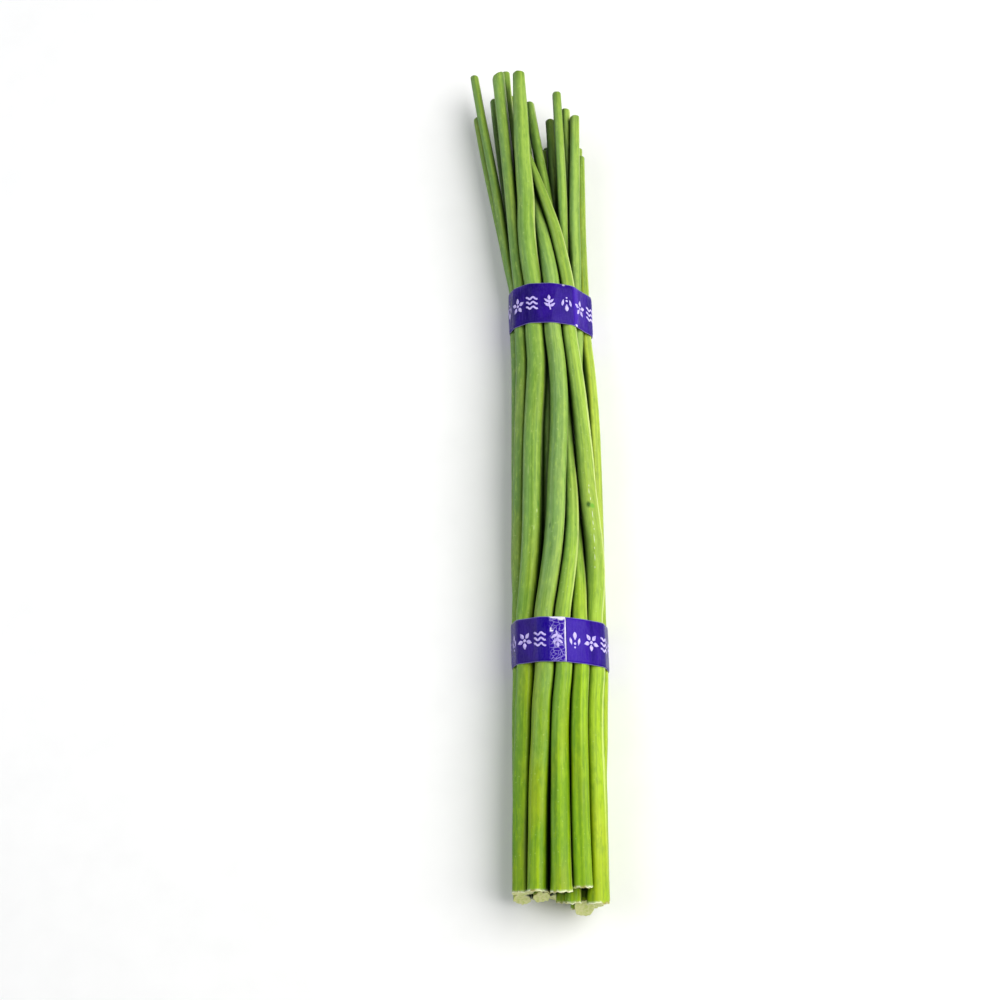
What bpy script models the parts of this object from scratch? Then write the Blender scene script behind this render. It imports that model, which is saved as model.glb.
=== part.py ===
"""A bunch of garlic scapes tied with two printed film tapes, lying on a flat surface.

The tables are in millimetres and the finished objects in metres. +Z is up, +Y runs from
the cut ends to the tips and X runs across the bunch. The origin is the middle of the
bunch's footprint, on the surface that it lies on.
"""

import math
from collections import namedtuple

import bmesh
import bpy
import numpy as np
from mathutils import Matrix, Vector
from mathutils.geometry import convex_hull_2d

MM = 0.001

# Tapes: film 20 mm wide, wound once round the bunch with its end stuck down over its start.
# The film is drawn thicker than it is, so that it stays a sound solid.
TAPE_WIDTH = 20.0
TAPE_THICKNESS = 0.6
TAPE_CLEARANCE = 0.35
OVERLAP_LENGTH = 13.0
OVERLAP_EXTRA = 0.4
OVERLAP_STEP = 0.3
OVERLAP_CLIMB = 3.0
TAPE_POINTS = 84
CIRCLE_POINTS = 24
NORMAL_REACH = 0.8
FLAT_WITHIN = 0.05

# Each tape: the Y of its middle, the side that its free end lies on (degrees from +X towards
# +Z) and how far its winding is off square, in degrees.
Tape = namedtuple("Tape", "name y end_angle slant")
TAPES = (
    Tape("lower_tape", 107.5, 78.0, 3.3),
    Tape("upper_tape", 268.0, -14.0, 4.2),
)

# Scapes: thickness at the cut end and at the tip, how late the taper comes (1 is even, more is
# later), Y of both ends, the slant of the cut in degrees and the way that it faces, and the
# (y, x, z) points that the scape is laid along before it settles against its neighbours.
Scape = namedtuple("Scape", "base tip taper cut_y tip_y slant facing path")
SCAPES = (
    # The upper surface, from the left edge to the right one.
    Scape(6.9, 3.8, 1.2, 0.6, 398.0, 6, 200, (
        (0, -12.5, 7.0), (107, -16.0, 10.5), (190, -17.2, 17.0), (229, -16.6, 19.0),
        (268, -17.0, 18.5), (304, -19.9, 19.0), (335, -24.0, 19.5), (398, -34.9, 20.0))),
    Scape(7.2, 5.8, 0.9, -1.4, 393.0, 24, 95, (
        (0, -17.0, 11.5), (107, -17.6, 17.0), (190, -16.0, 24.0), (229, -13.8, 25.5),
        (268, -13.4, 24.5), (304, -15.4, 26.0), (341, -18.3, 28.5), (393, -22.6, 30.0))),
    Scape(8.6, 5.8, 8.0, 0.5, 390.0, 5, 90, (
        (0, -19.2, 19.0), (48, -18.6, 20.0), (83, -17.6, 21.5), (133, -14.1, 27.0),
        (166, -11.5, 30.5), (197, -9.9, 31.5), (229, -8.2, 31.5), (279, -7.2, 31.0),
        (304, -8.2, 31.5), (346, -11.2, 33.5), (390, -12.4, 36.0))),
    Scape(8.7, 6.2, 3.0, 0.8, 346.0, -4, 70, (
        (0, -11.4, 27.0), (48, -9.0, 28.5), (83, -6.3, 31.5), (133, -2.0, 34.0),
        (166, 0.6, 34.5), (197, 1.9, 34.5), (229, 3.7, 34.0), (279, 1.7, 31.5),
        (304, -1.6, 29.0), (330, -7.5, 25.5), (346, -11.0, 23.5))),
    Scape(9.2, 4.5, 2.2, -4.6, 352.0, -4, 100, (
        (0, 13.2, 26.0), (48, 14.9, 25.5), (107, 16.0, 26.0), (133, 17.0, 26.5),
        (166, 16.6, 28.0), (197, 14.9, 29.0), (229, 11.8, 29.5), (279, 7.7, 29.5),
        (304, 4.9, 30.0), (323, -0.9, 30.0), (341, -8.6, 27.8), (352, -12.5, 26.0))),
    Scape(7.6, 4.5, 1.4, -6.0, 370.5, 36, 92, (
        (0, 8.5, 20.5), (107, 10.5, 21.0), (166, 12.6, 17.0), (213, 12.8, 20.6),
        (240, 12.8, 23.2), (268, 12.4, 25.0), (304, 11.6, 26.0), (318, 12.7, 26.0),
        (370, 15.0, 27.0))),
    Scape(6.9, 4.6, 1.4, -3.4, 352.0, 14, 45, (
        (0, 14.0, 18.0), (48, 15.5, 18.0), (83, 16.6, 18.0), (133, 16.8, 18.5),
        (166, 17.4, 19.5), (197, 19.0, 24.0), (229, 18.2, 24.0), (268, 16.6, 20.5),
        (304, 15.5, 21.0), (352, 17.0, 20.0))),
    # The next layer, which comes to the surface where the bunch twists.
    Scape(8.8, 4.1, 0.8, 0.0, 382.0, -6, 80, (
        (0, -2.4, 32.5), (48, -1.8, 33.0), (83, 1.2, 33.5), (107, 3.9, 33.5),
        (133, 5.9, 32.0), (166, 7.0, 29.0), (197, 6.5, 27.0), (229, 6.5, 24.5),
        (268, 7.0, 22.5), (304, 7.8, 25.0), (335, 7.6, 28.0), (382, 5.9, 30.0))),
    Scape(8.0, 4.4, 1.0, 1.6, 375.5, -3, 110, (
        (0, 8.7, 31.0), (48, 6.9, 32.0), (83, 8.0, 32.0), (107, 8.9, 31.0),
        (133, 8.9, 28.0), (166, 8.2, 24.0), (213, 6.2, 19.5), (240, 7.0, 18.5),
        (268, 9.0, 17.3), (335, 10.5, 22.0), (375, 10.4, 25.0))),
    Scape(7.2, 4.6, 1.3, 0.4, 378.5, -4, 100, (
        (0, -5.0, 24.0), (107, -2.0, 26.0), (190, -4.3, 27.0), (217, -2.5, 26.5),
        (268, 1.0, 24.5), (300, 3.0, 24.5), (331, 0.5, 24.5), (346, -3.0, 25.5),
        (378, -8.2, 27.0))),
    Scape(7.0, 4.4, 1.3, -1.0, 398.0, 26, 80, (
        (0, -8.6, 20.5), (107, -9.4, 24.0), (190, -9.5, 23.0), (268, -8.0, 22.0),
        (335, -14.0, 23.0), (398, -19.0, 22.0))),
    Scape(6.8, 4.6, 1.4, -4.2, 372.5, -5, 95, (
        (0, 0.6, 25.5), (107, 4.5, 25.5), (190, 3.0, 22.5), (268, 2.0, 18.0),
        (335, 3.6, 19.5), (372, 2.6, 20.0))),
    # The heart of the bunch.
    Scape(7.0, 4.6, 1.3, -0.6, 388.0, 12, 105, (
        (0, -5.0, 13.5), (107, -5.0, 14.5), (190, -6.0, 17.0), (268, -8.0, 15.0),
        (335, -13.0, 17.0), (388, -16.8, 16.0))),
    Scape(7.8, 4.4, 1.5, -3.4, 357.0, -9, 75, (
        (0, 1.5, 17.5), (107, 2.0, 18.0), (190, 1.0, 16.5), (268, -1.5, 16.5),
        (335, -1.0, 18.0), (357, 0.0, 18.0))),
    # The underside, from left to right.
    Scape(6.6, 4.2, 1.5, 0.4, 380.0, 9, 80, (
        (0, -8.0, 5.5), (107, -9.5, 5.5), (166, -17.5, 9.0), (229, -14.0, 9.5),
        (268, -12.5, 9.5), (335, -25.5, 11.0), (380, -34.6, 9.0))),
    Scape(6.9, 4.8, 1.5, -0.8, 390.0, -10, 130, (
        (0, -12.5, 14.5), (107, -12.5, 16.0), (190, -11.0, 13.0), (268, -9.5, 7.5),
        (335, -19.0, 11.0), (390, -24.5, 10.0))),
    Scape(7.4, 4.6, 1.5, -0.4, 375.0, 6, 60, (
        (0, -1.0, 5.0), (96, -3.0, 3.0), (119, -3.0, 3.0), (190, -5.5, 5.0),
        (256, -3.5, 2.0), (280, -3.5, 2.0), (335, -7.0, 5.0), (375, -9.0, 5.0))),
    Scape(7.8, 4.8, 1.5, -3.8, 365.0, -7, 100, (
        (0, 6.5, 6.0), (96, 4.8, 3.0), (119, 4.8, 3.0), (190, 2.5, 5.0),
        (256, 3.2, 2.0), (280, 3.2, 2.0), (335, 2.5, 5.0), (365, 2.0, 5.0))),
    Scape(7.4, 4.6, 1.5, -4.4, 370.0, 11, 70, (
        (0, 12.0, 7.0), (107, 11.0, 6.5), (190, 9.5, 6.0), (268, 8.5, 7.0),
        (335, 9.0, 6.5), (370, 8.0, 6.0))),
    Scape(7.0, 4.6, 1.5, -5.8, 362.0, -5, 85, (
        (0, 11.0, 14.2), (107, 15.2, 13.5), (190, 17.0, 12.2), (268, 12.5, 12.5),
        (335, 15.0, 12.5), (362, 17.0, 9.0))),
)

# The outline that the tapes squeeze the bunch into: Y, its middle's X, half width, half height.
SQUEEZE = (
    (-10.0, -3.0, 20.3, 18.9),
    (50.0, -1.7, 20.2, 18.7),
    (107.5, 0.0, 20.2, 18.3),
    (150.0, 0.4, 21.4, 18.7),
    (197.0, 1.0, 20.6, 18.6),
    (230.0, 0.5, 19.4, 17.8),
    (268.0, 0.0, 17.6, 16.9),
    (330.0, 0.0, 34.0, 26.0),
    (410.0, 0.0, 60.0, 40.0),
)
SQUEEZE_SUNK = 1.2

# Settling: how far apart skins are kept, how low a scape may lie, and how firmly each rule acts.
SKIN_GAP = 0.5
FLOOR_GAP = 0.5
SETTLE_STEPS = 800
CLEARING_STEPS = 120
HOLD = 0.14
SAG = 0.004
STIFFNESS = 0.25
FAIRNESS = 0.8
SQUEEZE_RATE = 0.6
CONTACT_ROUNDS = 4
CONTACT_RATE = 0.45
PARALLEL_RATE = 0.5
END_ALLOWANCE = 12.0

# Mesh fineness. GRIP_HALF is how far from a tape's middle the rings at its edges are, and no
# other ring is closer to an end than END_MARGIN.
SIDES = 10
FIRST_RING_Y = -10.0
LAST_RING_Y = 406.0
RINGS_BELOW = 8
RINGS_BETWEEN = 10
RINGS_ABOVE = 10
SECTIONS_A_RING = 3
GRIP_HALF = 11.7
EDGE_ALLOWANCE = 0.1
END_MARGIN = 5.0
SMOOTH_ANGLE = 35.0

# The rounded tip: (distance from the end, radius), both in tip radii.
TIP_RINGS = ((0.75, 1.0), (0.3, 0.9), (0.07, 0.66), (0.0, 0.36))

SKIN_COLOUR = (0.26, 0.46, 0.10, 1.0)
SKIN_ROUGHNESS = 0.42
FILM_COLOUR = (0.075, 0.028, 0.42, 1.0)
FILM_ROUGHNESS = 0.22


def ring_lines():
    """Y of the rings that the scapes share, with one at each edge of each tape's grip."""
    lower, upper = (tape.y for tape in TAPES)
    below = np.linspace(FIRST_RING_Y, lower - GRIP_HALF, RINGS_BELOW)
    between = np.linspace(lower + GRIP_HALF, upper - GRIP_HALF, RINGS_BETWEEN)
    above = np.linspace(upper + GRIP_HALF, LAST_RING_Y, RINGS_ABOVE)
    return np.concatenate([below, between, above])


def section_lines():
    """Y of every section that is settled: the rings and SECTIONS_A_RING - 1 between each two."""
    rings = ring_lines()
    count = SECTIONS_A_RING * (len(rings) - 1) + 1
    return np.interp(np.arange(count) / SECTIONS_A_RING, np.arange(len(rings)), rings)


def radius_at(scape, y):
    """A scape's radius at Y, in millimetres."""
    along = (y - scape.cut_y) / (scape.tip_y - scape.cut_y)
    along = np.clip(along, 0.0, 1.0)
    return 0.5 * (scape.base + (scape.tip - scape.base) * along**scape.taper)


def planned_places(scape, lines):
    """The centres that the layout asks for, one (x, z) for each section line."""
    along, x, z = zip(*scape.path)
    return np.stack([np.interp(lines, along, x), np.interp(lines, along, z)], axis=-1)


def push_apart(centres, radius, present):
    """Moves scapes that are closer than SKIN_GAP apart, in every section."""
    away = centres[:, None] - centres[None, :]
    distance = np.linalg.norm(away, axis=-1) + 1e-9
    both = present[:, None] & present[None, :]
    overlap = np.where(both, radius[:, None] + radius[None, :] + SKIN_GAP - distance, 0.0)
    itself = np.arange(len(centres))
    overlap[itself, itself] = 0.0
    overlap = np.maximum(overlap, 0.0)
    centres += CONTACT_RATE * (away / distance[..., None] * overlap[..., None]).sum(axis=1)


def push_apart_between(centres, radius, present):
    """Does the same halfway between the sections, by moving the sections on both sides."""
    middles = 0.5 * (centres[:, :-1] + centres[:, 1:])
    moved = middles.copy()
    both = present[:, :-1] & present[:, 1:]
    push_apart(moved, 0.5 * (radius[:, :-1] + radius[:, 1:]), both)
    centres[:, :-1] += moved - middles
    centres[:, 1:] += moved - middles


def stiffen(centres, present, lines, amount, reach):
    """Draws each centre towards the straight line between those reach sections either side."""
    before, here, after = lines[: -2 * reach], lines[reach:-reach], lines[2 * reach :]
    share = ((here - before) / (after - before))[None, :, None]
    straight = centres[:, : -2 * reach] * (1 - share) + centres[:, 2 * reach :] * share
    inner = present[:, : -2 * reach] & present[:, reach:-reach] & present[:, 2 * reach :]
    pull = np.where(inner[..., None], amount * (straight - centres[:, reach:-reach]), 0.0)
    centres[:, reach:-reach] += pull


def squeeze(centres, radius, lines, floor, amount):
    """Draws what lies outside the squeezing outline back towards it."""
    known_y, middles, widths, heights = zip(*SQUEEZE)
    middle_x = np.interp(lines, known_y, middles)
    half_width = np.interp(lines, known_y, widths)
    half_height = np.interp(lines, known_y, heights)
    middle = np.stack([middle_x, half_height + floor - SQUEEZE_SUNK], axis=-1)
    reach_x = np.maximum(half_width - radius, 1.0)
    reach_z = np.maximum(half_height - radius, 1.0)
    from_middle = centres - middle
    out = np.hypot(from_middle[..., 0] / reach_x, from_middle[..., 1] / reach_z)
    back = np.where(out > 1.0, 1.0 - 1.0 / np.maximum(out, 1.0), 0.0)
    centres -= amount * from_middle * back[..., None]


def run_parallel(centres, lines):
    """Scapes run nearly parallel through each tape's grip."""
    for tape in TAPES:
        gripped = np.abs(lines - tape.y) < GRIP_HALF + EDGE_ALLOWANCE
        mean = centres[:, gripped].mean(axis=1, keepdims=True)
        centres[:, gripped] += PARALLEL_RATE * (mean - centres[:, gripped])


def settle(lines):
    """Settles the scapes against each other, the surface and the tapes.

    Returns their centres and radii at the ring lines.
    """
    centres = np.array([planned_places(s, lines) for s in SCAPES])
    planned = centres.copy()
    radius = np.array([radius_at(s, lines) for s in SCAPES])
    present = np.array(
        [(lines > s.cut_y - END_ALLOWANCE) & (lines < s.tip_y + END_ALLOWANCE) for s in SCAPES]
    )
    floor = np.full(len(lines), FLOOR_GAP)
    for tape in TAPES:
        gripped = np.abs(lines - tape.y) < GRIP_HALF + EDGE_ALLOWANCE
        floor[gripped] = TAPE_THICKNESS + TAPE_CLEARANCE
    for step in range(SETTLE_STEPS):
        firm = 1.0 - step / SETTLE_STEPS
        centres += HOLD * firm * (planned - centres)
        centres[..., 1] -= SAG * firm
        squeeze(centres, radius, lines, floor, SQUEEZE_RATE * firm)
        stiffen(centres, present, lines, STIFFNESS * firm, SECTIONS_A_RING)
        stiffen(centres, present, lines, FAIRNESS * firm, 1)
        run_parallel(centres, lines)
        for _ in range(CONTACT_ROUNDS):
            push_apart(centres, radius, present)
            centres[..., 1] = np.maximum(centres[..., 1], radius + floor)
    rings = slice(None, None, SECTIONS_A_RING)
    centres, radius, present = centres[:, rings], radius[:, rings], present[:, rings]
    for _ in range(CLEARING_STEPS):
        push_apart(centres, radius, present)
        push_apart_between(centres, radius, present)
        centres[..., 1] = np.maximum(centres[..., 1], radius + floor[rings])
    return centres, radius


def centre_at(centres, lines, y):
    """A scape's centre (x, z) at any Y between the first and the last section."""
    return Vector((np.interp(y, lines, centres[:, 0]), np.interp(y, lines, centres[:, 1])))


def new_material(name, colour, roughness):
    material = bpy.data.materials.new(name)
    material.use_nodes = True
    shader = material.node_tree.nodes["Principled BSDF"]
    shader.inputs["Base Color"].default_value = colour
    shader.inputs["Roughness"].default_value = roughness
    shader.inputs["Metallic"].default_value = 0.0
    return material


def add_object(name, bm, material):
    bmesh.ops.recalc_face_normals(bm, faces=bm.faces)
    mesh = bpy.data.meshes.new(name)
    bm.to_mesh(mesh)
    bm.free()
    mesh.materials.append(material)
    mesh.shade_smooth()
    mesh.set_sharp_from_angle(angle=math.radians(SMOOTH_ANGLE))
    thing = bpy.data.objects.new(name, mesh)
    bpy.context.scene.collection.objects.link(thing)
    return thing


def scape_rings(scape, centres, lines):
    """(y, centre, radius) of every ring of a scape, from the cut end to the tip."""
    tip_radius = radius_at(scape, scape.tip_y)
    shoulder = scape.tip_y - TIP_RINGS[0][0] * tip_radius
    along_stem = [y for y in ring_lines() if scape.cut_y + END_MARGIN < y < shoulder - END_MARGIN]
    rings = [(y, radius_at(scape, y)) for y in (scape.cut_y, *along_stem)]
    rings += [(scape.tip_y - back * tip_radius, share * tip_radius) for back, share in TIP_RINGS]
    return [(y, centre_at(centres, lines, y), radius) for y, radius in rings]


def build_scape(name, scape, centres, lines, material):
    """One scape, grown along the stem from a disc at its cut end by extruding the disc's face."""
    rings = scape_rings(scape, centres, lines)
    facing = math.radians(scape.facing)
    slope = math.tan(math.radians(scape.slant))
    bm = bmesh.new()
    circle = bmesh.ops.create_circle(bm, cap_ends=True, segments=SIDES, radius=1.0)["verts"]
    directions = [vertex.co.copy() for vertex in circle]
    bm.faces.ensure_lookup_table()
    cap = bm.faces[0]
    for number, (y, centre, radius) in enumerate(rings):
        if number:
            grown = bmesh.ops.extrude_face_region(bm, geom=[cap, *cap.edges])["geom"]
            cap = next(piece for piece in grown if isinstance(piece, bmesh.types.BMFace))
            circle = list(cap.verts)
        for vertex, direction in zip(circle, directions):
            x, z = radius * direction.x, radius * direction.y
            slanted = slope * (x * math.cos(facing) + z * math.sin(facing)) if number == 0 else 0.0
            vertex.co = Vector((centre.x + x, y + slanted, centre.y + z)) * MM
    return add_object(name, bm, material)


def grip_outline(tape, centres, radius, lines):
    """The stretched loop round all the scapes in a tape's grip, as (x, z) points."""
    turns = np.linspace(0.0, math.tau, CIRCLE_POINTS, endpoint=False)
    directions = np.stack([np.cos(turns), np.sin(turns)], axis=-1)
    edges = [int(np.argmin(np.abs(lines - (tape.y + side)))) for side in (-GRIP_HALF, GRIP_HALF)]
    points = []
    for edge in edges:
        for centre, scape_radius in zip(centres[:, edge], radius[:, edge]):
            points += [Vector(point) for point in centre + (scape_radius + TAPE_CLEARANCE) * directions]
    return np.array([points[number] for number in convex_hull_2d(points)])


def walk(outline, distances):
    """The points at these distances round a closed outline, and the outward normal at each."""
    closed = np.vstack([outline, outline[:1]])
    lengths = np.linalg.norm(np.diff(closed, axis=0), axis=1)
    reached = np.concatenate([[0.0], np.cumsum(lengths)])
    total = reached[-1]

    def at(where):
        where = np.mod(where, total)
        return np.stack([np.interp(where, reached, closed[:, axis]) for axis in (0, 1)], axis=-1)

    along = at(distances + NORMAL_REACH) - at(distances - NORMAL_REACH)
    along /= np.linalg.norm(along, axis=1, keepdims=True)
    outward = np.stack([along[:, 1], -along[:, 0]], axis=-1)
    return at(distances), outward


def tape_loops(tape, centres, radius, lines):
    """The inner and the outer outline of a tape. The outer one steps out over the stuck end."""
    outline = grip_outline(tape, centres, radius, lines)
    middle = outline.mean(axis=0)
    angles = np.degrees(np.arctan2(*(outline - middle).T[::-1]))
    start = int(np.argmin(np.abs((angles - tape.end_angle + 180.0) % 360.0 - 180.0)))
    outline = np.roll(outline, -start, axis=0)
    girth = np.linalg.norm(np.diff(np.vstack([outline, outline[:1]]), axis=0), axis=1).sum()
    edges = np.array([0.0, OVERLAP_STEP, OVERLAP_LENGTH, OVERLAP_LENGTH + OVERLAP_CLIMB])
    evenly = np.linspace(edges[1], girth, TAPE_POINTS + 1)[1:-1]
    apart = np.abs(evenly[:, None] - edges).min(axis=1) > 0.5 * OVERLAP_STEP
    distances = np.sort(np.concatenate([edges, evenly[apart]]))
    inner, outward = walk(outline, distances)
    extra = np.interp(distances, edges, (0.0, OVERLAP_EXTRA, OVERLAP_EXTRA, 0.0))
    outer = inner + outward * (TAPE_THICKNESS + extra)[:, None]
    outer[:, 1] = np.where(outer[:, 1] < FLAT_WITHIN, 0.0, outer[:, 1])
    return inner, outer


def add_loop(bm, points, y):
    """A closed loop of edges in the plane at y, through (x, z) points in millimetres."""
    vertices = [bm.verts.new(Vector((x, y, z)) * MM) for x, z in points]
    return [bm.edges.new(pair) for pair in zip(vertices, vertices[1:] + vertices[:1])]


def build_tape(tape, centres, radius, lines, material):
    """One tape: the ring between its two outlines, extruded over its width and slanted."""
    bm = bmesh.new()
    edges = []
    for points in tape_loops(tape, centres, radius, lines):
        edges += add_loop(bm, points, tape.y - 0.5 * TAPE_WIDTH)
    bmesh.ops.bridge_loops(bm, edges=edges)
    grown = bmesh.ops.extrude_face_region(bm, geom=list(bm.faces))["geom"]
    far_side = [piece for piece in grown if isinstance(piece, bmesh.types.BMVert)]
    bmesh.ops.translate(bm, vec=(0.0, TAPE_WIDTH * MM, 0.0), verts=far_side)
    for vertex in bm.verts:
        vertex.co.y -= vertex.co.x * math.tan(math.radians(tape.slant))
    return add_object(tape.name, bm, material)


def stand_on_origin(things):
    """Moves every mesh so that the origin is the middle of the footprint."""
    corners = np.array([vertex.co for thing in things for vertex in thing.data.vertices])
    low, high = corners.min(axis=0), corners.max(axis=0)
    shift = Matrix.Translation((-(low[0] + high[0]) / 2, -(low[1] + high[1]) / 2, -low[2]))
    for thing in things:
        thing.data.transform(shift)


def main():
    for thing in list(bpy.data.objects):
        bpy.data.objects.remove(thing)
    centres, radius = settle(section_lines())
    lines = ring_lines()
    skin = new_material("scape_skin", SKIN_COLOUR, SKIN_ROUGHNESS)
    film = new_material("tape_film", FILM_COLOUR, FILM_ROUGHNESS)
    things = [
        build_scape(f"scape_{number:02d}", scape, path, lines, skin)
        for number, (scape, path) in enumerate(zip(SCAPES, centres), start=1)
    ]
    things += [build_tape(tape, centres, radius, lines, film) for tape in TAPES]
    stand_on_origin(things)


if __name__ == "__main__":
    main()
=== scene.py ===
"""A bunch of garlic scapes tied with two printed film tapes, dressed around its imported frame.

Each scape's line and thickness, and each tape's outline, are read from their CAD nodes. The
pieces made here replace those nodes with finer ones. Lengths in the tables are in millimetres.
"""

import math
from collections import namedtuple

import bmesh
import bpy
import numpy as np
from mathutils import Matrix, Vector, noise


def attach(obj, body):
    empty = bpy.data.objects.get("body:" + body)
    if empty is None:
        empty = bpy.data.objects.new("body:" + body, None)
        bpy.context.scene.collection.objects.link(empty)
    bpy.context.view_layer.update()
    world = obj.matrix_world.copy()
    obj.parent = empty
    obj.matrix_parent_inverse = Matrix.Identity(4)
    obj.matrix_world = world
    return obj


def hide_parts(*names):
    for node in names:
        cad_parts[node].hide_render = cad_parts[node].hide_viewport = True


MM = 0.001

# Camera: the photograph's own view of this bunch.
CAMERA_PLACE = (-0.02306, -0.25113, 0.768)
CAMERA_TURN = (17.34, 0.0, -1.08)
CAMERA_LENS = 61.6

# Soft lights, each turned to the bunch: (name, place in metres, size, power, colour).
LIGHT_AIM = Vector((0.0, 0.0, 0.02))
LIGHTS = (
    ("key", (0.64, 0.06, 0.96), 1.1, 15.8, "#fffefb"),
    ("left_window", (-0.85, 0.15, 0.85), 1.1, 6.0, "#f8faff"),
    ("low_right", (0.9, -0.05, 0.16), 0.3, 1.2, "#fffefb"),
)
FLOOR_HALF = 4.0

# Scape meshes, and the CAD scapes that they are read from.
SIDES = 32
RING_SPACING = 3.0
CAD_SIDES = 10
CAD_TIP_RINGS = 3
NEW_RING = 0.01

# How a stem departs from its CAD line: how far the skin stands proud, how far the line wobbles
# and the skin swells and over what length, and how oval it is, as a share of the radius, and
# over what length that turns.
PROUD = 0.08
WOBBLE, WOBBLE_LENGTH = 0.10, 38.0
SWELL, SWELL_LENGTH = 0.015, 22.0
OVAL, OVAL_LENGTH = 0.025, 160.0

# Ridges along the stem: how many, their share of the radius, their start and the length over
# which they turn, which is negative where they turn the other way.
RIDGES = ((5, 0.024, 2.3, 90.0), (8, 0.0144, 4.1, -60.0))

# The cut face, from its middle outwards: (share of the radius, depth in mm behind the cut), and
# then the first whole rings behind it.
CUT_FACE = ((0.10, 0.30), (0.42, 0.36), (0.72, 0.22), (0.90, 0.02), (0.985, 0.0), (1.0, 0.16))
FIRST_RINGS = (0.6, 1.4, 2.8)
FLARE_LENGTH = 3.5

# The torn rim: how far it stands out, how many tears it has in a radian, and where on the cut.
RAGGED = 0.75
TEARS = 3.4
RIM_DEPTH = 1.0
RIM_SHARE = 0.8

# Tips: how far a slant reaches along the stem, the steps of the rounding, and the least rounding
# of a grown tip. Less than that is a cut one, with these rings: (share of the rounding, share of
# the radius, how much it belongs to the cut face).
SLANT_REACH = 9.0
TIP_STEPS = 6
BLUNT = 0.4
CUT_TIP = (
    (0.5, 0.985, 0.0), (0.85, 0.93, 0.0), (1.0, 0.84, 0.3),
    (0.8, 0.6, 0.45), (0.7, 0.3, 0.5), (0.7, 0.08, 0.5),
)

# How far a mark at full strength swells the skin.
MARK_BUMP = 0.12

# How the skin's openness is measured, which sets the painted shade between scapes: rays over
# this many degrees either side of straight out.
OPEN_HALF = 78.0
OPEN_RAYS = 15

# Skins stay this far from the line halfway between two scapes, where they press flat, and do so
# a little way past the ends of a neighbour too, because a slanted cut reaches over them.
TOUCH_GAP = 0.04
PAST_ENDS = 6.0
LEAST_FACING = 0.3

# Each scape: skin colours at the cut end, middle and tip; how much pale wax it has; how far its
# tip is rounded, in tip radii; its tip's slant in degrees and the way that faces; how wide its
# cut end flares; and small marks as (Y in mm from the bunch's middle, direction in degrees from
# +X towards +Z, half width, half length, colour, strength).
Look = namedtuple("Look", "low middle high wax round slant facing flare marks")

# Painted highlights: the bright glints of drops strung along the front scape, painted as short
# pale marks with a slight swell: (Y, direction, half length), as in a look's marks.
DROP_GLINTS = (
    (-15.2, 84, 0.5), (-17.8, 87, 1.3), (-21.4, 83, 0.7), (-28.6, 82, 1.7), (-32.6, 85, 1.1),
    (-35.4, 83, 0.4), (-39.8, 89, 2.0), (-44.2, 92, 0.6), (-48.4, 94, 1.5), (-53.0, 96, 0.5),
)


def drop_glint(y, way, half_length):
    """A painted highlight: a small drop's glint, as a short bright line."""
    return (y, way, 0.14, half_length, "#f4f9e2", 0.7)


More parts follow.
